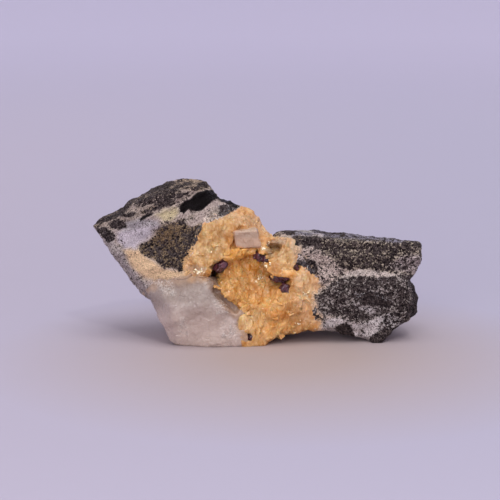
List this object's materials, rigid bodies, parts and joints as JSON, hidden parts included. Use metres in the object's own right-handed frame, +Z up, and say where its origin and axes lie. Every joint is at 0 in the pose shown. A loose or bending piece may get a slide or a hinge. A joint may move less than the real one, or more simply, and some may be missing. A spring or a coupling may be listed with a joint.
{
  "type": "mineral specimen",
  "caption": "Cinnabar in matrix: dark red crystals in the open hollow of a peach dolomite vein, between banded grey wall rock and a mass of milky quartz, lying on its flat base",
  "frame": {"origin": "on the ground that the specimen lies on, below the middle of its box", "axes": "+X runs along the stone from the pale bedded rock to the dark speckled rock, +Y goes from the broken front with the hollow to the back, and +Z goes up from the ground"},
  "size_m": [0.0831, 0.0326, 0.0393],
  "materials": {
    "bedded_rock": "matte",
    "speckled_rock": "matte",
    "milky_quartz": "satin",
    "peach_dolomite": "satin",
    "golden_dolomite": "satin",
    "lilac_calcite": "satin",
    "cinnabar": "gloss"
  },
  "bodies": {
    "root": {"host_rock_left": "bedded_rock", "host_rock_right": "speckled_rock", "quartz_mass": "milky_quartz", "dolomite_vein": "peach_dolomite", "vug_druse": "golden_dolomite", "calcite_block": "lilac_calcite", "cinnabar_left": "cinnabar", "cinnabar_top": "cinnabar", "cinnabar_right": "cinnabar", "cinnabar_low": "cinnabar", "cinnabar_edge": "cinnabar", "cinnabar_foot": "cinnabar"}
  },
  "joints": []
}
